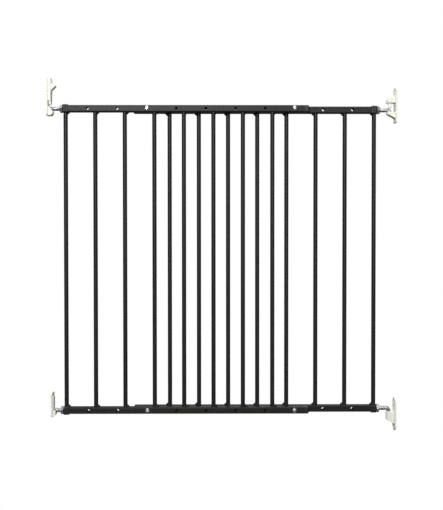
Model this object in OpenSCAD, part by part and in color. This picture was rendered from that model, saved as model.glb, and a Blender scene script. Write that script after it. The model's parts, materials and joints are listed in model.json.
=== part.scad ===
// Screw-mounted extending safety gate of welded steel.
// Two like half-frames slide on each other and are clamped by four screws. The rear half hangs on
// two bent rods in wall brackets; the front half ends in two straight rods that drop into latches.
// +X points to the hinge wall, +Y to the back, +Z up. The origin is on the hinge wall face, in the
// rear half's middle plane, at the height of the bottom rail's centre line.

/* [Frame] */
// Height between the centre lines of the bottom and top rails
rail_rise = 665; // [400:5:1000]
// Distance between neighbouring bars, and between neighbouring rail holes
bar_pitch = 65; // [52:1:80]
// Hole pitches between the two joining screws of a rail
overlap_steps = 5; // [1:1:7]
// Outside diameter of a bar
bar_d = 9.5; // [6:0.5:11]
// Wall of a bar's tube
bar_wall = 1; // [0.8:0.1:1.6]
// Outside width and height of a rail's square tube
rail_side = 15; // [14:0.5:24]
// Wall of a rail's tube
rail_wall = 1.2; // [0.8:0.1:1.4]
// Outside corner radius of a rail's tube
rail_corner = 2.5; // [1.6:0.1:4]
// Free space between the front and rear rails
frame_gap = 2; // [1.6:0.1:5]
// From the outer end of a half-frame to its first bar
bar_inset = 5.75; // [5.5:0.25:9]
// From a bar to the rail hole beyond it
hole_offset = 48.75; // [44:0.25:60]
// From the last hole to the inner end of a rail
rail_tail = 22.25; // [18:0.25:40]
// Leg of the weld fillet beside a bar
weld_leg = 5.5; // [2:0.5:6]

/* [End caps and plugs] */
// Length of the cap over a rail's outer end
cap_len = 12.5; // [12:0.5:20]
// Height of the cap's beads over the rail
cap_proud = 2; // [1.5:0.1:3]
// Thickness of the cap's outer end wall
cap_wall = 1; // [1:0.1:4]
// Length of the domed plug beyond a rail's inner end
plug_dome = 10.5; // [8.5:0.5:14]
// Length of a plug's spigot inside the rail
plug_spigot = 12; // [6:1:15]

/* [Rods and nuts] */
// Diameter of the plain shank of a hinge rod
shank_d = 9; // [8:0.1:10]
// Diameter over the thread of a rod
thread_d = 9.6; // [9:0.1:10.2]
// Length of a rod inside the half-frame
rod_inside = 47; // [30:1:50]
// Length of the threaded insert in a rail's outer end
insert_len = 20; // [12:1:28]
// Width across the flats of a lock nut
nut_af = 17; // [16:0.5:19]
// Height of a lock nut
nut_h = 6; // [5:0.5:9]

/* [Joining screws] */
// Diameter of the screw's shank
screw_d = 6; // [5:0.5:7]
// Diameter of the screw's head
screw_head_d = 11; // [9:0.5:14]
// Height of the screw's head
screw_head_h = 2.8; // [2:0.1:4]
// Diameter of a plain hole in the rail
rail_hole_d = 6.4; // [6:0.1:8]
// Outside diameter of the washer between the rails
washer_d = 13; // [10:0.5:14]
// Thickness of that washer
washer_t = 1.2; // [0.8:0.1:1.2]

/* [Hinges] */
// From the hinge wall to the outer end of the rear half
hinge_gap = 43.75; // [40:0.25:60]
// From the hinge wall to the hinge axis
hinge_reach = 14.5; // [14:0.5:18]
// Thickness of a hinge bracket's wall plate
hinge_plate_t = 3.3; // [2.5:0.1:4]
// Width of a hinge bracket's wall plate
hinge_plate_w = 24; // [22:1:40]
// How far the gate can be lifted
lift = 10; // [8:0.1:10.4]
// Radius of the upper bracket's arms round the hinge axis
upper_arm_r = 8.3; // [8:0.1:9]
// Radius of the lower bracket's socket round the hinge axis
socket_r = 6.9; // [6.7:0.1:9]
// Wall of a hinge bush
bush_wall = 1.2; // [0.8:0.1:1.2]
// Depth of the lower bracket's socket
socket_deep = 18; // [10:0.5:19]
// Diameter of the guide pin in the upper arm
guide_d = 8; // [5:0.5:9]

/* [Latches] */
// From the upper latch's wall plane to the outer end of the front half
upper_latch_gap = 35.25; // [33:0.25:45]
// From the lower latch's wall plane to the outer end of the front half
lower_latch_gap = 27.25; // [25:0.25:40]
// Thickness of a latch bracket's wall plate
latch_plate_t = 3.5; // [2.5:0.1:4]
// Width of a latch bracket's wall plate
latch_plate_w = 24; // [22:1:40]
// From the upper latch's wall plane to its rod's tip
upper_tip_off = 5.5; // [5:0.1:8]
// From the lower latch's wall plane to its rod's tip
lower_tip_off = 6; // [5.9:0.1:8]
// Thickness of a cup's cheek
cheek_t = 2.7; // [2:0.1:5]
// Thickness of a prong of the catch's fork
prong_t = 1.8; // [1.4:0.1:2]
// Diameter of the catch's pivot pin
pivot_d = 3; // [2.5:0.1:3.4]
// Diameter of the catch spring's wire
wire_d = 0.7; // [0.5:0.1:0.8]

/* [Wall screws] */
// Diameter of a wall screw's hole
wall_hole_d = 4.6; // [4:0.1:5]
// Diameter of its countersink
wall_sink_d = 9; // [7:0.1:9.4]

/* [Hidden] */
$fn = 64;

BARS = 8; // bars in a half-frame, and holes in a rail
EPS = 1; // how far a cut runs past a face
RUN = 0.05; // radial clearance of a shaft that turns in a hole
THREAD_RUN = 0.1; // radial clearance of a thread in its nut or insert
WELD_EDGE = 0.2; // how much narrower a fillet is than its bar, each side
SLIP = 0.1; // clearance of a piece that slips into a tube
CLEAR = 0.3; // free space between pieces of different bodies
BUSH_OVER = 0.4; // how far a bush reaches past the start of the bend
BUSH_FLOOR = 0.6; // what is left of the upper bracket's arm under its bush

half_depth = rail_side + frame_gap; // from the rear half's middle plane to the front half's
first_hole = bar_inset + hole_offset;
last_hole = first_hole + (BARS - 1) * bar_pitch;
rail_len = last_hole + rail_tail;
rear_end_x = -hinge_gap;
front_end_x = rear_end_x - 2 * first_hole - (2 * (BARS - 1) - overlap_steps) * bar_pitch;
bar_len = rail_rise - rail_side;
cap_side = rail_side + 2 * cap_proud;
rail_inside = rail_side - 2 * rail_wall;
insert_side = rail_inside - 2 * SLIP;
insert_corner = max(rail_corner - rail_wall, 0.3);
thread_r = thread_d / 2;
shank_r = shank_d / 2;
nut_bore_r = thread_r + THREAD_RUN;
bend_r = shank_r + 3; // radius of a hinge rod's bend at its centre line
bush_bore_r = shank_r + RUN;
bush_r = bush_bore_r + bush_wall;
arm_top = -max(thread_r, shank_r) - CLEAR; // top of what a rod rests on, from the rod's centre line
bush_top = -bend_r + BUSH_OVER; // both bushes end where the rod's bend begins
screw_hole_r = screw_d / 2 + SLIP;
sleeve_r = rail_hole_d / 2 - SLIP;

// Heights below are from a rod's centre line, and reaches are from the wall plane.
// Upper hinge bracket
UPPER_PLATE = [-28, 50];
UPPER_CORNER = 9;
UPPER_FOOT = 1.5; // corner radius of the plate's lower end
UPPER_SCREWS = [-23, 41];
LIP = [2.5, 0.8]; // length and depth of the lip under the upper arm's tip
window_top = shank_r + lift + CLEAR + LIP[1]; // the lip stops the lifted rod
UPPER_ARM_ROOT = 16.5; // height of the upper arm where it leaves the plate
UPPER_ARM_TIP = 6.6; // and at its tip
LOWER_ARM_TIP = 2.4; // thickness of the lower arm at its tip
LOWER_ARM_ROOT = 13.5; // and where it leaves the plate
// Lower hinge bracket
LOWER_PLATE = [-49.8, 23.9];
LOWER_SCREWS = [-43, 14];
FLANGE_T = 1.6; // flange of the lower bush
FLANGE_OUT = 0.9; // how far that flange stands out past the bush
SOCKET_FLOOR = 1.8;
SOCKET_GUSSET = 9.4; // how much lower the socket reaches at the plate
GUSSET = [2.3, 25]; // reach and height of the ribs above the socket
GUSSET_T = 2;
GUSSET_Y = 7;
// Upper latch bracket
CATCH_PLATE = [-15.2, 66.5];
PLATE_CORNER = 4;
CUP_REACH = 14;
CUP_PROFILE = [-15.2, -11, -6, 6]; // bottom, outer bottom edge, outer top edge, top at the plate
CUP_HEEL = 10; // how far out the cup's flat bottom reaches
CHANNEL = [17, 66.5]; // from and to which height the catch's channel runs
CHANNEL_REACH = 9.8;
CHANNEL_WALL = 2;
CHANNEL_CAP = 3.5; // closed top of the channel
SLOT = [7.5, 46]; // slots in the plate behind the prongs
CATCH_SCREWS = [0, 30];
// Catch
CATCH_BODY = [37, 62];
CATCH_REACH = 10.8;
CATCH_BACK = 5.9;
PRONG = [9, 40];
PRONG_REACH = 9.6;
TAB = [40, 48.4, 50.6, 54]; // root bottom, tip bottom, tip top, root top
TAB_REACH = 19.5;
PIVOT_Z = 58;
PIVOT_X = 7.2;
NOTCH = [53, 2.6]; // bottom and half width of the notch for the spring
NOTCH_FRONT = 10;
// Catch spring
COIL_TURNS = 2.25;
COIL_PLAY = 0.15; // free space between the coil and the pivot pin
COIL_PITCH = 0.95;
COIL_LEGS = [3.4, 1.4]; // straight ends at the top and at the bottom
STEPS_PER_TURN = 20;
// Lower latch bracket
LOW_PLATE = [-13.2, 39.7];
LOW_STRIP_TOP = 31;
LOW_STRIP_REACH = 5.5;
LOW_STRIP_W = 17;
LOW_CUP = [-13.2, -10, 0]; // bottom, outer bottom edge, top
LOW_CUP_REACH = 9.5;
LOW_CUP_HEEL = 6.5;
LOW_SCREWS = [10, 35.4];

cup_half = thread_r + 0.5; // half the width of the space between a cup's cheeks
prong_in = thread_r + 0.4;
prong_out = prong_in + prong_t;
channel_in = prong_out + CLEAR;
channel_out = channel_in + CHANNEL_WALL;
leg_bottom = -(shank_r + socket_deep);

// ---------- Placing ----------

module rear_half() {
  translate([rear_end_x, 0, 0]) rotate([0, 0, 180]) children();
}

module front_half() {
  translate([front_end_x, -half_depth, 0]) children();
}

module at_top() {
  translate([0, 0, rail_rise]) children();
}

module hinge_wall() {
  rotate([0, 0, 180]) children();
}

module upper_latch_wall() {
  translate([front_end_x - upper_latch_gap, -half_depth, rail_rise]) children();
}

module lower_latch_wall() {
  translate([front_end_x - lower_latch_gap, -half_depth, 0]) children();
}

// ---------- Shapes that repeat ----------

module rounded_square(side, r) {
  square([side, side - 2 * r], center = true);
  square([side - 2 * r, side], center = true);
  for (sx = [-1, 1], sy = [-1, 1])
    translate([sx * (side / 2 - r), sy * (side / 2 - r)]) circle(r = r);
}

// A square bar along +X from x0 to x1
module square_bar(side, r, x0, x1) {
  translate([x0, 0, 0]) rotate([90, 0, 90]) linear_extrude(x1 - x0) rounded_square(side, r);
}

// A round bar along +X from x0 to x1
module round_bar(r, x0, x1) {
  translate([x0, 0, 0]) rotate([0, 90, 0]) cylinder(r = r, h = x1 - x0);
}

// An outline in X and Z, extruded in Y from y0 to y1
module side_profile(points, y0, y1) {
  translate([0, y1, 0]) rotate([90, 0, 0]) linear_extrude(y1 - y0) polygon(points);
}

module plate_end(w, r) {
  if (w > 2 * r) translate([r - w / 2, -r]) square([w - 2 * r, r]);
  for (s = [-1, 1]) translate([s * (w / 2 - r), 0]) circle(r = r);
}

// A wall plate with rounded lower corners r0 and upper corners r1
module wall_plate(w, span, t, r0, r1) {
  rotate([90, 0, 90]) linear_extrude(t) {
    translate([-w / 2, span[0] + r0]) square([w, span[1] - span[0] - r0 - r1]);
    translate([0, span[0] + r0]) plate_end(w, r0);
    translate([0, span[1] - r1]) mirror([0, 1]) plate_end(w, r1);
  }
}

// Countersunk holes along X at the given heights, their sinks opening at depth t
module wall_screw_holes(heights, t) {
  sink_h = (wall_sink_d - wall_hole_d) / 2;
  for (z = heights) translate([0, 0, z]) {
    round_bar(wall_hole_d / 2, -EPS, t + EPS);
    translate([t - sink_h, 0, 0]) rotate([0, 90, 0])
      cylinder(d1 = wall_hole_d, d2 = wall_sink_d, h = sink_h);
    round_bar(wall_sink_d / 2, t, t + 4 * EPS);
  }
}

// A tongue from the wall round the hinge axis, between heights z0 and z1
module tongue(r, z0, z1) {
  translate([0, 0, z0]) linear_extrude(z1 - z0) {
    translate([0, -r]) square([hinge_reach, 2 * r]);
    translate([hinge_reach, 0]) circle(r = r);
  }
}

// A rod's straight threaded part, chamfered at x0
module threaded_bar(x0, x1) {
  chamfer = 1;
  translate([x0, 0, 0]) rotate([0, 90, 0]) rotate_extrude()
    polygon([[0, 0], [thread_r - chamfer, 0], [thread_r, chamfer], [thread_r, x1 - x0], [0, x1 - x0]]);
}

// ---------- Half-frame pieces, from the outer end along +X ----------

module rail() {
  color([0.12, 0.12, 0.12]) difference() {
    square_bar(rail_side, rail_corner, cap_wall, rail_len);
    square_bar(rail_inside, insert_corner, cap_wall - EPS, rail_len + EPS);
    for (i = [0 : BARS - 1])
      translate([first_hole + i * bar_pitch, 0, 0]) rotate([90, 0, 0])
        cylinder(d = rail_hole_d, h = rail_side + 2 * EPS, center = true);
  }
}

module bar(i) {
  color([0.12, 0.12, 0.12]) translate([bar_inset + (i - 1) * bar_pitch, 0, rail_side / 2])
    difference() {
      cylinder(d = bar_d, h = bar_len);
      translate([0, 0, -EPS]) cylinder(d = bar_d - 2 * bar_wall, h = bar_len + 2 * EPS);
    }
}

// One fillet on the inner side of a bar, on top of the bottom rail
module weld() {
  width = bar_d - 2 * WELD_EDGE;
  difference() {
    intersection() {
      cylinder(r1 = bar_d / 2 + weld_leg, r2 = bar_d / 2, h = weld_leg);
      translate([bar_d / 8, -width / 2, 0]) cube([bar_d + weld_leg, width, weld_leg]);
    }
    translate([0, 0, -EPS]) cylinder(d = bar_d, h = weld_leg + 2 * EPS);
  }
}

module welds() {
  color([0.1, 0.1, 0.1]) for (i = [0 : BARS - 1]) translate([bar_inset + i * bar_pitch, 0, 0]) {
    translate([0, 0, rail_side / 2]) weld();
    translate([0, 0, rail_rise - rail_side / 2]) mirror([0, 0, 1]) weld();
  }
}

// The cap's outline from its outer end: two rounded beads with a groove between them
module cap_outline() {
  crest = cap_side / 2;
  groove = 0.52 * cap_len;
  half = [
    [0, crest - 2.2], [0.5, crest - 1.1], [1.4, crest - 0.35], [2.6, crest], [groove - 1.6, crest],
    [groove - 0.6, crest - 0.5], [groove, crest - 1.1], [groove + 0.6, crest - 0.7],
    [groove + 1.6, crest - 0.3], [cap_len - 2, crest - 0.3], [cap_len - 0.8, crest - 0.7],
    [cap_len, crest - 1.2]
  ];
  polygon(concat(half, [for (i = [len(half) - 1 : -1 : 0]) [half[i][0], -half[i][1]]]));
}

// The cap over a rail's outer end; its slot clears the first bar, above the rail
module end_cap() {
  color([0.09, 0.09, 0.09]) difference() {
    intersection() {
      square_bar(cap_side, rail_corner + cap_proud, 0, cap_len);
      linear_extrude(2 * cap_side, center = true) cap_outline();
      rotate([90, 0, 0]) linear_extrude(2 * cap_side, center = true) cap_outline();
    }
    square_bar(rail_side, rail_corner, cap_wall, cap_len + EPS);
    round_bar(nut_bore_r + CLEAR, -EPS, cap_wall + EPS);
    translate([bar_inset, 0, rail_side / 2 - EPS]) cylinder(d = bar_d + 2 * SLIP, h = cap_side);
    translate([bar_inset, -bar_d / 2 - SLIP, rail_side / 2 - EPS])
      cube([cap_len, bar_d + 2 * SLIP, cap_side]);
  }
}

// The plug in a rail's inner end: a domed head and a spigot
module end_plug() {
  color([0.09, 0.09, 0.09]) union() {
    intersection() {
      square_bar(rail_side, rail_corner, rail_len, rail_len + plug_dome);
      translate([rail_len, rail_side, 0]) rotate([90, 0, 0])
        cylinder(r = plug_dome, h = 2 * rail_side);
      translate([rail_len, 0, -rail_side]) cylinder(r = plug_dome, h = 2 * rail_side);
    }
    square_bar(insert_side, insert_corner, rail_len - plug_spigot, rail_len + EPS);
  }
}

module insert() {
  color([0.75, 0.77, 0.8]) difference() {
    square_bar(insert_side, insert_corner, cap_wall, cap_wall + insert_len);
    round_bar(nut_bore_r, 0, cap_wall + insert_len + EPS);
  }
}

// A lock nut against the cap, turned by an angle about its rod
module lock_nut(turn) {
  corner_r = nut_af / 2 / cos(30);
  face_r = nut_af / 2 - 0.4;
  rim_r = corner_r + 0.2;
  chamfer = 1;
  color([0.78, 0.8, 0.83]) translate([-CLEAR - nut_h, 0, 0]) rotate([0, 90, 0]) difference() {
    intersection() {
      rotate([0, 0, turn]) cylinder(r = corner_r, h = nut_h, $fn = 6);
      rotate_extrude() polygon([
        [0, 0], [face_r, 0], [rim_r, chamfer],
        [rim_r, nut_h - chamfer], [face_r, nut_h], [0, nut_h]
      ]);
    }
    translate([0, 0, -EPS]) cylinder(r = nut_bore_r, h = nut_h + 2 * EPS);
  }
}

// ---------- Joining fasteners, along +Y from the middle of the front rail ----------

// The front half's holes that hold screws
function screw_holes() = [BARS - 1 - overlap_steps, BARS - 1];

module at_screws() {
  for (i = screw_holes(), z = [0, rail_rise])
    front_half() translate([first_hole + i * bar_pitch, 0, z]) children();
}

module joining_screw() {
  face = -rail_side / 2;
  recess_w = 1.4;
  recess_l = 5.6;
  recess_h = 1.6;
  dome_r = (pow(screw_head_d / 2, 2) + pow(screw_head_h, 2)) / (2 * screw_head_h);
  difference() {
    union() {
      translate([0, face, 0]) rotate([90, 0, 0]) intersection() {
        translate([0, 0, screw_head_h - dome_r]) sphere(r = dome_r);
        cylinder(d = screw_head_d, h = screw_head_h + EPS);
      }
      translate([0, rail_side / 2 + washer_t, 0]) rotate([90, 0, 0])
        cylinder(d = screw_d, h = rail_side + washer_t);
    }
    for (a = [0, 90]) translate([0, face - screw_head_h + recess_h, 0]) rotate([90, a, 0])
      translate([-recess_l / 2, -recess_w / 2, 0]) cube([recess_l, recess_w, recess_h + EPS]);
  }
}

module joining_screws() {
  color([0.8, 0.82, 0.85]) at_screws() joining_screw();
}

module joining_washers() {
  color([0.09, 0.09, 0.09]) at_screws() translate([0, rail_side / 2 + washer_t, 0])
    rotate([90, 0, 0]) difference() {
      cylinder(d = washer_d, h = washer_t);
      translate([0, 0, -EPS]) cylinder(r = screw_hole_r, h = washer_t + 2 * EPS);
    }
}

// A flanged sleeve nut in the rear rail, its flange on the back
module barrel_nut() {
  flange_h = 2;
  translate([0, half_depth + rail_side / 2 + flange_h, 0]) rotate([90, 0, 0]) difference() {
    union() {
      cylinder(d = screw_head_d, h = flange_h);
      cylinder(r = sleeve_r, h = rail_side + flange_h);
    }
    translate([0, 0, 2 * flange_h])
      cylinder(d = screw_d - 1, h = rail_side);
  }
}

module joining_barrel_nuts() {
  color([0.8, 0.82, 0.85]) at_screws() barrel_nut();
}

// ---------- Rods ----------

// A hinge rod: a leg down the hinge axis, a bend, and a threaded bar into the rear half
module hinge_rod(leg_end) {
  thread_start = hinge_reach + upper_arm_r + CLEAR;
  bend_x = hinge_reach + bend_r;
  leg_h = -bend_r - leg_end;
  tip_chamfer = 1;
  color([0.8, 0.82, 0.85]) hinge_wall() union() {
    translate([hinge_reach, 0, leg_end]) rotate_extrude()
      polygon([[0, 0], [shank_r - tip_chamfer, 0], [shank_r, tip_chamfer], [shank_r, leg_h], [0, leg_h]]);
    translate([bend_x, 0, -bend_r]) rotate([90, 0, 180]) rotate_extrude(angle = 90)
      translate([bend_r, 0]) circle(r = shank_r);
    round_bar(shank_r, bend_x, thread_start + EPS);
    round_bar(thread_r, thread_start, hinge_gap + rod_inside);
  }
}

// A latch rod: a straight threaded bar, its tip tip_off from the wall plane
module latch_rod(tip_off, gap) {
  color([0.8, 0.82, 0.85]) threaded_bar(tip_off, gap + rod_inside);
}

// ---------- Hinge brackets ----------

lower_arm_bottom = arm_top - LOWER_ARM_TIP
  - (LOWER_ARM_ROOT - LOWER_ARM_TIP) * upper_arm_r / (hinge_reach + upper_arm_r - hinge_plate_t);

module upper_hinge_bracket() {
  tip = hinge_reach + upper_arm_r;
  top = window_top + UPPER_ARM_ROOT;
  color([0.95, 0.94, 0.88]) at_top() hinge_wall() difference() {
    union() {
      wall_plate(hinge_plate_w, UPPER_PLATE, hinge_plate_t, UPPER_FOOT, UPPER_CORNER);
      intersection() {
        tongue(upper_arm_r, window_top - EPS, top + EPS);
        side_profile([
          [0, window_top], [tip - LIP[0] - LIP[1], window_top],
          [tip - LIP[0], window_top - LIP[1]], [tip + EPS, window_top - LIP[1]],
          [tip + EPS, window_top + UPPER_ARM_TIP], [hinge_plate_t, top], [0, top]
        ], -upper_arm_r - EPS, upper_arm_r + EPS);
      }
      intersection() {
        tongue(upper_arm_r, arm_top - LOWER_ARM_ROOT - EPS, arm_top);
        side_profile([
          [0, arm_top + EPS], [tip + EPS, arm_top + EPS], [tip + EPS, arm_top - LOWER_ARM_TIP],
          [hinge_plate_t, arm_top - LOWER_ARM_ROOT], [0, arm_top - LOWER_ARM_ROOT]
        ], -upper_arm_r - EPS, upper_arm_r + EPS);
      }
    }
    translate([hinge_reach, 0, 0]) cylinder(r = guide_d / 2 + RUN, h = top + EPS);
    translate([hinge_reach, 0, arm_top - LOWER_ARM_ROOT]) cylinder(r = bush_r, h = LOWER_ARM_ROOT + EPS);
    wall_screw_holes(UPPER_SCREWS, hinge_plate_t);
  }
}

module upper_hinge_bush() {
  h = bush_top - lower_arm_bottom - BUSH_FLOOR;
  color([0.97, 0.97, 0.95]) at_top() hinge_wall() translate([hinge_reach, 0, bush_top - h])
    difference() {
      cylinder(r = bush_r, h = h);
      translate([0, 0, -EPS]) cylinder(r = bush_bore_r, h = h + 2 * EPS);
    }
}

// A pin that stands on the rod's bend and slides up through the upper arm
module upper_hinge_guide_pin() {
  h = window_top + UPPER_ARM_TIP - shank_r - CLEAR;
  color([0.97, 0.97, 0.95]) at_top() hinge_wall() translate([hinge_reach, 0, shank_r + CLEAR])
    union() {
      cylinder(d = guide_d, h = h - 1);
      translate([0, 0, h - 1]) cylinder(d1 = guide_d, d2 = guide_d - 2, h = 1);
    }
}

module lower_hinge_bracket() {
  socket_top = bush_top - FLANGE_T;
  floor_z = leg_bottom - CLEAR - SOCKET_FLOOR;
  tip = hinge_reach + socket_r;
  color([0.95, 0.94, 0.88]) hinge_wall() difference() {
    union() {
      wall_plate(hinge_plate_w, LOWER_PLATE, hinge_plate_t, hinge_plate_w / 2, hinge_plate_w / 2);
      intersection() {
        tongue(socket_r, floor_z - SOCKET_GUSSET - EPS, socket_top);
        side_profile([
          [0, socket_top + EPS], [tip + EPS, socket_top + EPS], [tip + EPS, floor_z],
          [hinge_plate_t, floor_z - SOCKET_GUSSET], [0, floor_z - SOCKET_GUSSET]
        ], -socket_r - EPS, socket_r + EPS);
      }
      for (s = [-1, 1]) side_profile([
        [0, socket_top - EPS], [hinge_plate_t + GUSSET[0], socket_top - EPS],
        [hinge_plate_t + GUSSET[0], socket_top], [hinge_plate_t, socket_top + GUSSET[1]],
        [0, socket_top + GUSSET[1]]
      ], s * GUSSET_Y - GUSSET_T / 2, s * GUSSET_Y + GUSSET_T / 2);
    }
    translate([hinge_reach, 0, leg_bottom - CLEAR]) cylinder(r = bush_r, h = 2 * socket_deep);
    wall_screw_holes(LOWER_SCREWS, hinge_plate_t);
  }
}

module lower_hinge_bush() {
  bottom = leg_bottom - CLEAR;
  color([0.97, 0.97, 0.95]) hinge_wall() translate([hinge_reach, 0, 0]) difference() {
    union() {
      translate([0, 0, bottom]) cylinder(r = bush_r, h = bush_top - bottom);
      translate([0, 0, bush_top - FLANGE_T]) cylinder(r = bush_r + FLANGE_OUT, h = FLANGE_T);
    }
    translate([0, 0, bottom - EPS]) cylinder(r = bush_bore_r, h = bush_top - bottom + 2 * EPS);
  }
}

// ---------- Latches ----------

// A cup: two cheeks of the given outline and a floor under the rod
module cup(cheek_points, floor_points) {
  out = cup_half + cheek_t;
  for (s = [-1, 1])
    side_profile(cheek_points, s * (cup_half + cheek_t / 2) - cheek_t / 2,
      s * (cup_half + cheek_t / 2) + cheek_t / 2);
  side_profile(floor_points, -out, out);
}

module upper_latch_bracket() {
  low = CUP_PROFILE[0];
  heel = CUP_PROFILE[1];
  lip = CUP_PROFILE[2];
  color([0.95, 0.94, 0.88]) upper_latch_wall() difference() {
    union() {
      wall_plate(latch_plate_w, CATCH_PLATE, latch_plate_t, PLATE_CORNER, PLATE_CORNER);
      cup(
        [[0, low], [CUP_HEEL, low], [CUP_REACH, heel], [CUP_REACH, lip],
         [latch_plate_t, CUP_PROFILE[3]], [0, CUP_PROFILE[3]]],
        [[0, low], [CUP_HEEL, low], [CUP_REACH, heel], [CUP_REACH, lip],
         [CUP_REACH - 1, arm_top], [0, arm_top]]
      );
      for (s = [-1, 1])
        translate([0, s * (channel_in + CHANNEL_WALL / 2) - CHANNEL_WALL / 2, CHANNEL[0]])
          cube([CHANNEL_REACH, CHANNEL_WALL, CHANNEL[1] - CHANNEL[0]]);
      translate([0, -channel_out, CHANNEL[1] - CHANNEL_CAP])
        cube([CHANNEL_REACH, 2 * channel_out, CHANNEL_CAP]);
    }
    for (s = [-1, 1])
      translate([-EPS, s * (prong_in + prong_t / 2) - prong_t / 2 - CLEAR, SLOT[0]])
        cube([latch_plate_t + 2 * EPS, prong_t + 2 * CLEAR, SLOT[1] - SLOT[0]]);
    translate([PIVOT_X, 0, PIVOT_Z]) rotate([90, 0, 0])
      cylinder(d = pivot_d, h = 2 * channel_out + EPS, center = true);
    wall_screw_holes(CATCH_SCREWS, latch_plate_t);
  }
}

module latch_catch() {
  color([0.96, 0.95, 0.9]) upper_latch_wall() difference() {
    union() {
      translate([CATCH_BACK, -prong_out, CATCH_BODY[0]])
        cube([CATCH_REACH - CATCH_BACK, 2 * prong_out, CATCH_BODY[1] - CATCH_BODY[0]]);
      for (s = [-1, 1])
        translate([CATCH_BACK, s * (prong_in + prong_t / 2) - prong_t / 2, PRONG[0]])
          cube([PRONG_REACH - CATCH_BACK, prong_t, PRONG[1] - PRONG[0]]);
      side_profile([
        [CATCH_REACH - EPS, TAB[0]], [CATCH_REACH, TAB[0]], [TAB_REACH, TAB[1]],
        [TAB_REACH, TAB[2]], [CATCH_REACH, TAB[3]], [CATCH_REACH - EPS, TAB[3]]
      ], -prong_out, prong_out);
    }
    translate([PIVOT_X, 0, PIVOT_Z]) rotate([90, 0, 0])
      cylinder(r = pivot_d / 2 + RUN, h = 2 * prong_out + 2 * EPS, center = true);
    translate([0, -NOTCH[1], NOTCH[0]])
      cube([NOTCH_FRONT, 2 * NOTCH[1], CATCH_BODY[1] - NOTCH[0] + EPS]);
  }
}

module catch_pivot_pin() {
  color([0.75, 0.77, 0.8]) upper_latch_wall() translate([PIVOT_X, 0, PIVOT_Z])
    rotate([90, 0, 0]) cylinder(d = pivot_d, h = 2 * channel_out, center = true);
}

// The spring's centre line: a straight end, the coil round the pin, a straight end
coil_r = pivot_d / 2 + COIL_PLAY + wire_d / 2;
function coil_point(a) = [
  PIVOT_X + coil_r * cos(a), COIL_PITCH * ((a - 180) / 360 - COIL_TURNS / 2), PIVOT_Z + coil_r * sin(a)
];
function coil_tangent(a) = [-sin(a), 0, cos(a)];
spring_path = concat(
  [coil_point(180) - COIL_LEGS[0] * coil_tangent(180)],
  [for (k = [0 : COIL_TURNS * STEPS_PER_TURN]) coil_point(180 + k * 360 / STEPS_PER_TURN)],
  [coil_point(180 + 360 * COIL_TURNS) + COIL_LEGS[1] * coil_tangent(180 + 360 * COIL_TURNS)]
);

// A round wire along a path that stays nearly at right angles to Y
module wire(path, r, sides = 8) {
  last = len(path) - 1;
  rings = [
    for (i = [0 : last])
      let (t = path[min(i + 1, last)] - path[max(i - 1, 0)])
      let (n = cross(t, [0, 1, 0]) / norm(cross(t, [0, 1, 0])))
      for (k = [0 : sides - 1])
        path[i] + r * (cos(k * 360 / sides) * n + sin(k * 360 / sides) * [0, 1, 0])
  ];
  polyhedron(rings, concat(
    [[for (k = [0 : sides - 1]) k]],
    [for (i = [0 : last - 1], k = [0 : sides - 1])
      [i * sides + k, (i + 1) * sides + k,
       (i + 1) * sides + (k + 1) % sides, i * sides + (k + 1) % sides]],
    [[for (k = [sides - 1 : -1 : 0]) last * sides + k]]
  ));
}

module catch_spring() {
  color([0.7, 0.72, 0.75]) upper_latch_wall() wire(spring_path, wire_d / 2);
}

module lower_latch_bracket() {
  low = LOW_CUP[0];
  heel = LOW_CUP[1];
  top = LOW_CUP[2];
  color([0.95, 0.94, 0.88]) lower_latch_wall() difference() {
    union() {
      wall_plate(latch_plate_w, LOW_PLATE, latch_plate_t, PLATE_CORNER, PLATE_CORNER);
      translate([0, -LOW_STRIP_W / 2, low + EPS])
        cube([LOW_STRIP_REACH, LOW_STRIP_W, LOW_STRIP_TOP - low - EPS]);
      cup(
        [[0, low], [LOW_CUP_HEEL, low], [LOW_CUP_REACH, heel], [LOW_CUP_REACH, top], [0, top]],
        [[0, low], [LOW_CUP_HEEL, low], [LOW_CUP_REACH, heel], [LOW_CUP_REACH, arm_top], [0, arm_top]]
      );
    }
    wall_screw_holes([LOW_SCREWS[0]], LOW_STRIP_REACH);
    wall_screw_holes([LOW_SCREWS[1]], latch_plate_t);
  }
}

// ---------- The pieces ----------

upper_hinge_bracket();
lower_hinge_bracket();
upper_hinge_bush();
lower_hinge_bush();
upper_hinge_guide_pin();
at_top() hinge_rod(lower_arm_bottom + BUSH_FLOOR);  // upper_hinge_rod
hinge_rod(leg_bottom);  // lower_hinge_rod
rear_half() at_top() lock_nut(18);  // upper_hinge_nut
rear_half() lock_nut(28);  // lower_hinge_nut
front_half() at_top() lock_nut(30);  // upper_latch_nut
front_half() lock_nut(20);  // lower_latch_nut
rear_half() at_top() rail();  // rear_top_rail
rear_half() rail();  // rear_bottom_rail
front_half() at_top() rail();  // front_top_rail
front_half() rail();  // front_bottom_rail
for (i = [1 : BARS]) {
  rear_half() bar(i);
  front_half() bar(i);
}
rear_half() welds();  // rear_welds
front_half() welds();  // front_welds
rear_half() at_top() mirror([0, 0, 1]) end_cap();  // rear_top_end_cap
rear_half() end_cap();  // rear_bottom_end_cap
front_half() at_top() mirror([0, 0, 1]) end_cap();  // front_top_end_cap
front_half() end_cap();  // front_bottom_end_cap
rear_half() at_top() end_plug();  // rear_top_end_plug
rear_half() end_plug();  // rear_bottom_end_plug
front_half() at_top() end_plug();  // front_top_end_plug
front_half() end_plug();  // front_bottom_end_plug
rear_half() at_top() insert();  // rear_top_insert
rear_half() insert();  // rear_bottom_insert
front_half() at_top() insert();  // front_top_insert
front_half() insert();  // front_bottom_insert
joining_screws();
joining_washers();
joining_barrel_nuts();
upper_latch_wall() latch_rod(upper_tip_off, upper_latch_gap);  // upper_latch_rod
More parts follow.
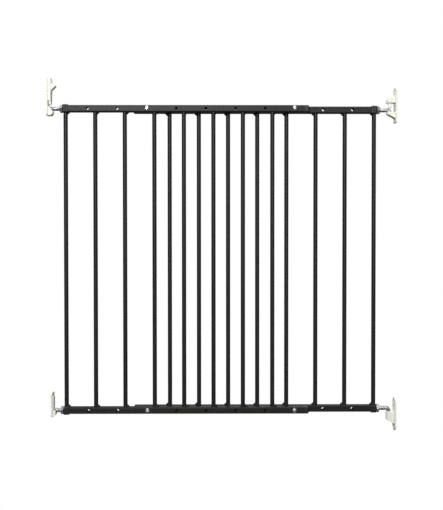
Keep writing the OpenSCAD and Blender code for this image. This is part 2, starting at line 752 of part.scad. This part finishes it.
lower_latch_wall() latch_rod(lower_tip_off, lower_latch_gap);  // lower_latch_rod
upper_latch_bracket();
lower_latch_bracket();
latch_catch();
catch_pivot_pin();
catch_spring();
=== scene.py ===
"""Looks of a screw-mounted extending safety gate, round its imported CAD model.

Metres, in the row frame: +X into the hinge wall, +Y to the back, +Z up.
"""

import json
import math
import random

import bmesh
import bpy
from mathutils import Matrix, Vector


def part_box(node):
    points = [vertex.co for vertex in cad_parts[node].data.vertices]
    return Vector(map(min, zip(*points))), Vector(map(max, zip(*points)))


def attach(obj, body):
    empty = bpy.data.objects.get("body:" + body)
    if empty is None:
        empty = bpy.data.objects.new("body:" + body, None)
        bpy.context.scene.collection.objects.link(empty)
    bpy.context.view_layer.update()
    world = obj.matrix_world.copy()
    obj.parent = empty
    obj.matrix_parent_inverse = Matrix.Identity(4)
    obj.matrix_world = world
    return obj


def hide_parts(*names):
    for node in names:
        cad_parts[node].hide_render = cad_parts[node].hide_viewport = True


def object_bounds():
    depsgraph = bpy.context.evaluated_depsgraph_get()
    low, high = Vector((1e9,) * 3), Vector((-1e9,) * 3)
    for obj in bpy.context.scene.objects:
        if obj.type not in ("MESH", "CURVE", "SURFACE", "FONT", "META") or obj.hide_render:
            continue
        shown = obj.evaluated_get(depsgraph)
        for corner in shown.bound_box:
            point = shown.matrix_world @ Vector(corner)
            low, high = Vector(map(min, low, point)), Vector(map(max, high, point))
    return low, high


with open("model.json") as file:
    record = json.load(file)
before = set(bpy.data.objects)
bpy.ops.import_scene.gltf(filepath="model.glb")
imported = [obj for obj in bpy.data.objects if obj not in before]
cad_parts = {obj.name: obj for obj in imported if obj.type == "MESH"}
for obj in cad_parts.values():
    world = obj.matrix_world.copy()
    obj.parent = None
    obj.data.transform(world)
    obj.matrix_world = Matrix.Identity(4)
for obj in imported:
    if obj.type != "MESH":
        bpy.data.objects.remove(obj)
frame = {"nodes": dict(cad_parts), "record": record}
cad_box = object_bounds()

MM = 0.001
BARS = range(1, 9)

# ---------- Materials ----------


class Nodes:
    """Short names for building a node material."""

    def __init__(self, name):
        self.material = bpy.data.materials.new(name)
        self.material.use_nodes = True
        self.tree = self.material.node_tree
        self.shader = self.tree.nodes["Principled BSDF"]
        self.place = self.add("ShaderNodeTexCoord").outputs["Object"]

    def add(self, kind, **inputs):
        node = self.tree.nodes.new(kind)
        for key, value in inputs.items():
            self.put(node, key.replace("_", " "), value)
        return node

    def put(self, node, key, value):
        socket = node.inputs[key]
        if isinstance(value, bpy.types.NodeSocket):
            self.tree.links.new(value, socket)
        else:
            socket.default_value = value

    def set(self, **inputs):
        for key, value in inputs.items():
            self.put(self.shader, key.replace("_", " "), value)

    def noise(self, scale, detail=3.0, roughness=0.5, stretch=None):
        place = self.place
        if stretch:
            mapping = self.add("ShaderNodeMapping", Vector=place, Scale=stretch)
            place = mapping.outputs["Vector"]
        node = self.add("ShaderNodeTexNoise", Vector=place, Scale=scale, Detail=detail, Roughness=roughness)
        return node.outputs["Fac"]

    def speckle(self, scale):
        node = self.add("ShaderNodeTexVoronoi", Vector=self.place, Scale=scale)
        return node.outputs["Distance"]

    def ramp(self, factor, stops):
        """A colour ramp; stops are (position, colour), and a colour may be one grey value."""
        node = self.add("ShaderNodeValToRGB", Fac=factor)
        elements = node.color_ramp.elements
        while len(elements) < len(stops):
            elements.new(1.0)
        for element, (position, colour) in zip(elements, stops):
            element.position = position
            element.color = (*colour, 1.0) if isinstance(colour, tuple) else (colour,) * 3 + (1.0,)
        return node.outputs["Color"]

    def spread(self, factor, low, high):
        node = self.add("ShaderNodeMapRange", Value=factor)
        node.inputs["From Min"].default_value = 0.3
        node.inputs["From Max"].default_value = 0.7
        node.inputs["To Min"].default_value = low
        node.inputs["To Max"].default_value = high
        return node.outputs["Result"]

    def edges(self):
        """About 0.5 on flat faces and more on sharp outer edges."""
        return self.add("ShaderNodeNewGeometry").outputs["Pointiness"]

    def mix(self, factor, a, b):
        node = self.add("ShaderNodeMix")
        node.data_type = "RGBA"
        for socket, value in zip((node.inputs[0], node.inputs[6], node.inputs[7]), (factor, a, b)):
            if isinstance(value, bpy.types.NodeSocket):
                self.tree.links.new(value, socket)
            else:
                socket.default_value = value
        return node.outputs[2]

    def bump(self, *layers):
        """Stacks bump layers, each (height socket, strength, distance in metres)."""
        normal = None
        for height, strength, distance in layers:
            node = self.add("ShaderNodeBump", Height=height, Strength=strength, Distance=distance)
            if normal:
                self.put(node, "Normal", normal)
            normal = node.outputs["Normal"]
        self.set(Normal=normal)


def powder_coat():
    """Satin black powder coat: orange peel, fine pinholes, slight cloudiness and polish on edges."""
    m = Nodes("black_powder_coat")
    cloud = m.noise(22, 4)
    peel = m.noise(1300, 2)
    grain = m.noise(5200, 2)
    base = m.ramp(cloud, [(0.3, (0.0098, 0.0096, 0.0088)), (0.7, (0.0116, 0.0113, 0.0102))])
    worn = m.ramp(m.edges(), [(0.52, 0.0), (0.62, 1.0)])
    scuff = m.add("ShaderNodeMath", Value=worn)
    scuff.operation = "MULTIPLY"
    m.put(scuff, 1, m.ramp(m.noise(300, 5), [(0.52, 0.0), (0.66, 0.18)]))
    m.set(Base_Color=m.mix(scuff.outputs[0], base, (0.05, 0.05, 0.049, 1)))
    m.set(Roughness=m.spread(m.noise(160, 4), 0.45, 0.49), Specular_IOR_Level=0.26)
    m.bump((peel, 0.3, 0.00005), (grain, 0.2, 0.000015))
    return m.material


def moulded(name, low, high, roughness, grain, subsurface=0.0, radius=(1.0, 0.9, 0.7)):
    """Moulded plastic: faint flow marks, spark-eroded grain, and light under the skin if asked."""
    m = Nodes(name)
    flow = m.noise(60, 3, stretch=(1.0, 1.0, 0.35))
    m.set(Base_Color=m.ramp(flow, [(0.3, low), (0.7, high)]))
    m.set(Roughness=m.spread(m.noise(420, 4), roughness - 0.06, roughness + 0.08))
    m.set(Subsurface_Weight=subsurface, Subsurface_Radius=radius, Subsurface_Scale=0.0012)
    m.bump((m.noise(1900, 3), grain, 0.00006), (m.speckle(2600), grain * 0.5, 0.00003))
    return m.material


def plated(name, low, high, roughness, streak):
    """Plated steel: drawing marks, cloudy brightness, small pits."""
    m = Nodes(name)
    cloud = m.noise(180, 5, 0.6)
    lines = m.noise(900, 3, stretch=streak)
    m.set(Base_Color=m.ramp(cloud, [(0.32, low), (0.68, high)]), Metallic=1.0)
    m.set(Roughness=m.spread(m.noise(500, 4), roughness - 0.04, roughness + 0.06))
    m.bump((lines, 0.25, 0.00003), (m.noise(2600, 2), 0.15, 0.00002))
    return m.material


MATERIALS = {
    "black_powder_coat": powder_coat(),
    "black_plastic": moulded("black_plastic", (0.007, 0.007, 0.0068), (0.0105, 0.0105, 0.01), 0.5, 0.25),
    "ivory_nylon": moulded(
        "ivory_nylon", (0.87, 0.87, 0.77), (0.91, 0.91, 0.83), 0.45, 0.12, 0.2, (1.0, 0.9, 0.6)
    ),
    "white_nylon": moulded("white_nylon", (0.9, 0.9, 0.88), (0.94, 0.94, 0.93), 0.4, 0.1, 0.2),
    "zinc": plated("zinc", (0.54, 0.55, 0.57), (0.65, 0.66, 0.68), 0.32, (0.08, 1.0, 1.0)),
    "spring_steel": plated("spring_steel", (0.42, 0.43, 0.44), (0.58, 0.59, 0.6), 0.24, (1.0, 1.0, 0.2)),
}


def dress(thing, slot):
    thing.data.materials.clear()
    thing.data.materials.append(MATERIALS[slot])
    for polygon in thing.data.polygons:
        polygon.use_smooth = True


def add_piece(name, mesh, slot, body, *replaced):
    """Links a new mesh, gives it its material and body, and hides the CAD nodes it stands for."""
    piece = bpy.data.objects.new(name, mesh)
    bpy.context.scene.collection.objects.link(piece)
    dress(piece, slot)
    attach(piece, body)
    if replaced:
        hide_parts(*replaced)
    return piece


# ---------- CAD nodes that keep their shape ----------

SLOT_OF = {s["node"]: s["material_slot"] for s in frame["record"]["subparts"]}
BODY_OF = {n: b for b, names in frame["record"]["behaviour"]["bodies"].items() for n in names}


def weld_mesh(thing):
    """Joins the CAD mesh's loose triangles, so that the next modifiers see one surface."""
    weld = thing.modifiers.new("weld", "WELD")
    weld.merge_threshold = 1e-6


def soften_edges(thing, width, segments=2):
    """A small rounded edge wherever two faces meet sharply."""
    weld_mesh(thing)
    bevel = thing.modifiers.new("edge", "BEVEL")
    bevel.width = width
    bevel.segments = segments
    bevel.limit_method = "ANGLE"
    bevel.angle_limit = math.radians(40)
    bevel.use_clamp_overlap = True
    bevel.harden_normals = False
    smooth_by_angle(thing)


def smooth_by_angle(thing):
    normals = thing.modifiers.new("normals", "WEIGHTED_NORMAL")
    normals.keep_sharp = True
    normals.weight = 90


def mould(thing, voxel, rounds):
    """Rounds every edge of a moulded piece, as its tool would, by an even remesh and smoothing."""
    weld_mesh(thing)
    remesh = thing.modifiers.new("skin", "REMESH")
    remesh.mode = "VOXEL"
    remesh.voxel_size = voxel
    remesh.use_smooth_shade = True
    smooth = thing.modifiers.new("round", "SMOOTH")
    smooth.factor = 0.5
    smooth.iterations = rounds


MOULDED = {
    "upper_hinge_bracket": 0.45 * MM,
    "lower_hinge_bracket": 0.45 * MM,
    "upper_latch_bracket": 0.4 * MM,
    "lower_latch_bracket": 0.4 * MM,
    "latch_catch": 0.3 * MM,
}
CAP_VOXEL = 0.3 * MM
MOULD_ROUNDS = 4
METAL_EDGE = 0.2 * MM

for node_name, thing in frame["nodes"].items():
    dress(thing, SLOT_OF[node_name])
    if node_name in MOULDED:
        mould(thing, MOULDED[node_name], MOULD_ROUNDS)
    elif node_name.endswith("_end_cap") or node_name.endswith("_end_plug"):
        mould(thing, CAP_VOXEL, MOULD_ROUNDS)
    elif node_name.endswith("_nut") or node_name == "joining_screws":
        soften_edges(thing, METAL_EDGE)
    else:
        smooth_by_angle(thing)

# ---------- Threaded rods ----------

THREAD_PITCH = 1.5 * MM
THREAD_DEPTH = 0.75 * MM
RING_SIDES = 32
RINGS_PER_PITCH = 8
SHANK_R = 4.5 * MM
BEND_R = 7.5 * MM
BEND_STEPS = 12
THREAD_START = 8.6 * MM  # from the hinge axis
ROD_CHAMFER = 1.0 * MM


def thread_radius(r, s, angle):
    """Radius of a rolled thread at distance s along the rod and at an angle round it."""
    phase = (s / THREAD_PITCH - angle / math.tau) % 1.0
    groove = min(1.0, max(0.0, 1.25 - abs(phase - 0.5) * 3.4))
    return r - THREAD_DEPTH * groove


def loft(name, rings):
    """A closed surface through rings of points, with a flat end at each side."""
    mesh = bpy.data.meshes.new(name)
    points = [p for ring in rings for p in ring]
    n = len(rings[0])
    faces = [tuple(range(n))[::-1], tuple(range(len(points) - n, len(points)))]
    for i in range(len(rings) - 1):
        for k in range(n):
            a, b = i * n + k, i * n + (k + 1) % n
            faces.append((a, b, b + n, a + n))
    mesh.from_pydata(points, [], faces)
    shape = bmesh.new()
    shape.from_mesh(mesh)
    bmesh.ops.recalc_face_normals(shape, faces=shape.faces)
    shape.to_mesh(mesh)
    shape.free()
    return mesh


def straight_rings(start, end, radius_at, step):
    """Rings along X from start to end."""
    length = (end - start).length
    count = max(2, round(length / step))
    direction = (end - start).normalized()
    side = Vector((0, 1, 0))
    up = direction.cross(side)
    rings = []
    for i in range(count + 1):
        s = length * i / count
        centre = start + direction * s
        ring = []
        for k in range(RING_SIDES):
            a = math.tau * k / RING_SIDES
            r = radius_at(s, length, a)
            ring.append(centre + side * (r * math.cos(a)) + up * (r * math.sin(a)))
        rings.append(ring)
    return rings


def threaded(r):
    """Radius along a threaded stretch, with a chamfer where it starts and ends."""

    def radius_at(s, length, a):
        full = thread_radius(r, s, a)
        rim = min(s, length - s)
        return min(full, r - ROD_CHAMFER + rim) if rim < ROD_CHAMFER else full

    return radius_at


def run_out(r, shank):
    """Radius along a thread that grows out of a plain shank and ends in a chamfer."""

    def radius_at(s, length, a):
        grown = min(1.0, s / (2 * THREAD_PITCH))
        full = shank + (thread_radius(r, s, a) - shank) * grown
        rim = length - s
        return min(full, r - ROD_CHAMFER + rim) if rim < ROD_CHAMFER else full

    return radius_at


def latch_rod(node):
    lo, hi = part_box(node)
    r = (hi.y - lo.y) / 2
    y, z = (lo.y + hi.y) / 2, (lo.z + hi.z) / 2
    rings = straight_rings(
        Vector((lo.x, y, z)), Vector((hi.x, y, z)), threaded(r), THREAD_PITCH / RINGS_PER_PITCH
    )
    return add_piece(node + "_threaded", loft(node, rings), SLOT_OF[node], BODY_OF[node], node)


def hinge_rod(node):
    """A leg down the hinge axis, a bend, and the threaded bar."""
    lo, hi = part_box(node)
    r = (hi.y - lo.y) / 2
    y = (lo.y + hi.y) / 2
    axis_x, bar_z = hi.x - SHANK_R, hi.z - r
    bend = Vector((axis_x - BEND_R, y, bar_z - BEND_R))
    rings = []

    def ring(centre, out, radius):
        """A ring round the centre line; out points away from the bend's centre."""
        across = Vector((0, 1, 0))
        return [
            centre + across * (radius * math.cos(t)) + out * (radius * math.sin(t))
            for t in (math.tau * k / RING_SIDES for k in range(RING_SIDES))
        ]

    east = Vector((1, 0, 0))
    leg = [(lo.z, SHANK_R - ROD_CHAMFER), (lo.z + ROD_CHAMFER, SHANK_R)]
    rings += [ring(Vector((axis_x, y, z)), east, radius) for z, radius in leg]
    for i in range(BEND_STEPS + 1):
        a = math.radians(90 * i / BEND_STEPS)
        out = Vector((math.cos(a), 0, math.sin(a)))
        rings.append(ring(bend + out * BEND_R, out, SHANK_R))
    up = Vector((0, 0, 1))
    start_x = axis_x - THREAD_START
    length = start_x - lo.x
    count = round(length / (THREAD_PITCH / RINGS_PER_PITCH))
    radius_at = run_out(r, SHANK_R)
    for i in range(count + 1):
        s = length * i / count
        rings.append(
            [
                Vector((start_x - s, y, bar_z))
                + Vector((0, 1, 0)) * (radius_at(s, length, t) * math.cos(t))
                + up * (radius_at(s, length, t) * math.sin(t))
                for t in (math.tau * k / RING_SIDES for k in range(RING_SIDES))
            ]
        )
    return add_piece(node + "_threaded", loft(node, rings), SLOT_OF[node], BODY_OF[node], node)


latch_rod("upper_latch_rod")
latch_rod("lower_latch_rod")
hinge_rod("upper_hinge_rod")
hinge_rod("lower_hinge_rod")

# ---------- Weld beads ----------

BEAD_SPAN = math.radians(75)
BEAD_STEPS = 26
BEAD_ARC = 8
BEAD_SINK = 0.15 * MM
BEAD_LEG = 5.4 * MM
BEAD_RIPPLE = 0.07
BEAD_WAVES = 19  # ripple along one bead, in radians
BEAD_JITTER = 0.025
BEAD_BELLY = 0.24


def bead(centre, bar_r, leg, inward, upward, rng):
    """Rings of one fillet bead round the inner side of a bar, on a rail's face at centre."""
    rings = []
    ripple = rng.uniform(0, math.tau)
    for i in range(BEAD_STEPS + 1):
        t = i / BEAD_STEPS
        a = (2 * t - 1) * BEAD_SPAN
        taper = math.sin(math.pi * min(1.0, max(0.0, t * 0.94 + 0.03))) ** 0.45
        wave = BEAD_RIPPLE * math.sin(ripple + BEAD_WAVES * t)
        size = leg * taper * (1 + wave + rng.uniform(-BEAD_JITTER, BEAD_JITTER))
        out = Vector((inward * math.cos(a), math.sin(a), 0))
        inner = bar_r - BEAD_SINK
        ring = [centre + out * inner - Vector((0, 0, upward * BEAD_SINK))]
        for k in range(BEAD_ARC + 1):
            b = math.pi / 2 * k / BEAD_ARC
            belly = 1 - BEAD_BELLY * math.sin(2 * b)
            ring.append(
                centre
                + out * (inner + size * math.cos(b) * belly)
                + Vector((0, 0, upward * (size * math.sin(b) * belly)))
            )
        rings.append(ring)
    return rings


def weld_beads(half, inward):
    rng = random.Random(half)
    lo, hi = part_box(half + "_welds")
    bar_lo, bar_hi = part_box(half + "_bar_1")
    bar_r = (bar_hi.x - bar_lo.x) / 2
    mesh = bpy.data.meshes.new(half + "_weld_beads")
    shape = bmesh.new()
    for i in BARS:
        bar_lo, bar_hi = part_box(f"{half}_bar_{i}")
        x, y = (bar_lo.x + bar_hi.x) / 2, (bar_lo.y + bar_hi.y) / 2
        for z, upward in ((lo.z, 1), (hi.z, -1)):
            rings = bead(Vector((x, y, z)), bar_r, BEAD_LEG, inward, upward, rng)
            rows = [[shape.verts.new(p) for p in ring] for ring in rings]
            n = len(rows[0])
            for a, b in zip(rows, rows[1:]):
                for k in range(n):
                    shape.faces.new((a[k], a[(k + 1) % n], b[(k + 1) % n], b[k]))
            shape.faces.new(rows[0][::-1])
            shape.faces.new(rows[-1])
    bmesh.ops.recalc_face_normals(shape, faces=shape.faces)
    shape.to_mesh(mesh)
    shape.free()
    return add_piece(half + "_weld_beads", mesh, "black_powder_coat", half + "_half", half + "_welds")


weld_beads("front", 1)
weld_beads("rear", -1)

# ---------- Floor, light and camera ----------

CENTRE = (cad_box[0] + cad_box[1]) / 2
FLOOR_DROP = 0.09
FLOOR_HALF = 14.0
ROOM_LIGHT = 0.12
BACKDROP_WHITE = 1.0
CAMERA_LENS = 51.26
CAMERA_PLACE = (-0.3964, -1.621, 0.3683)
CAMERA_TURN = (90 - 0.898, 0.03, -0.256)  # degrees


def white_backdrop(tree, strength_socket):
    """White where it is looked at, but dim as a light, like a background cut out in print."""
    path = tree.nodes.new("ShaderNodeLightPath")
    strength = tree.nodes.new("ShaderNodeMapRange")
    strength.inputs["To Min"].default_value = ROOM_LIGHT
    strength.inputs["To Max"].default_value = BACKDROP_WHITE
    tree.links.new(path.outputs["Is Camera Ray"], strength.inputs["Value"])
    tree.links.new(strength.outputs["Result"], strength_socket)


def studio_white():
    m = Nodes("studio_white")
    m.set(Base_Color=(0, 0, 0, 1), Specular_IOR_Level=0.0, Emission_Color=(1, 1, 1, 1))
    white_backdrop(m.tree, m.shader.inputs["Emission Strength"])
    return m.material


def add_floor():
    mesh = bpy.data.meshes.new("floor")
    z = cad_box[0].z - FLOOR_DROP
    corners = [
        (CENTRE.x + sx * FLOOR_HALF, CENTRE.y + sy * FLOOR_HALF, z)
        for sx, sy in ((-1, -1), (1, -1), (1, 1), (-1, 1))
    ]
    mesh.from_pydata(corners, [], [(0, 1, 2, 3)])
    floor = bpy.data.objects.new("floor", mesh)
    bpy.context.scene.collection.objects.link(floor)
    mesh.materials.append(studio_white())


def add_light(name, place, size, power, colour=(1, 1, 1)):
    data = bpy.data.lights.new(name, "AREA")
    data.shape = "RECTANGLE"
    data.size, data.size_y = size
    data.energy = power
    data.color = colour
    light = bpy.data.objects.new(name, data)
    bpy.context.scene.collection.objects.link(light)
    light.location = CENTRE + Vector(place)
    light.rotation_euler = (-Vector(place)).to_track_quat("-Z", "Y").to_euler()


def add_world():
    world = bpy.data.worlds.new("studio")
    bpy.context.scene.world = world
    world.use_nodes = True
    tree = world.node_tree
    background = tree.nodes["Background"]
    background.inputs["Color"].default_value = (1, 1, 1, 1)
    white_backdrop(tree, background.inputs["Strength"])


def add_camera():
    """In front of the gate's middle, a little above it and turned a touch down."""
    data = bpy.data.cameras.new("camera")
    data.sensor_fit = "AUTO"
    data.sensor_width = 36.0
    data.lens = CAMERA_LENS
    data.clip_end = 100.0
    camera = bpy.data.objects.new("camera", data)
    bpy.context.scene.collection.objects.link(camera)
    camera.location = CAMERA_PLACE
    camera.rotation_euler = [math.radians(a) for a in CAMERA_TURN]
    bpy.context.scene.camera = camera


add_floor()
add_world()
bpy.context.scene.view_settings.view_transform = "Standard"
add_light("key", (-0.6, -2.9, 1.0), (0.6, 1.6), 74)
add_light("fill", (1.4, -2.4, 0.8), (0.5, 1.6), 14)
add_light("top", (0.0, 0.2, 2.4), (2.4, 1.4), 45)
add_light("back", (0.3, 2.6, 1.4), (1.6, 1.6), 12)
add_camera()
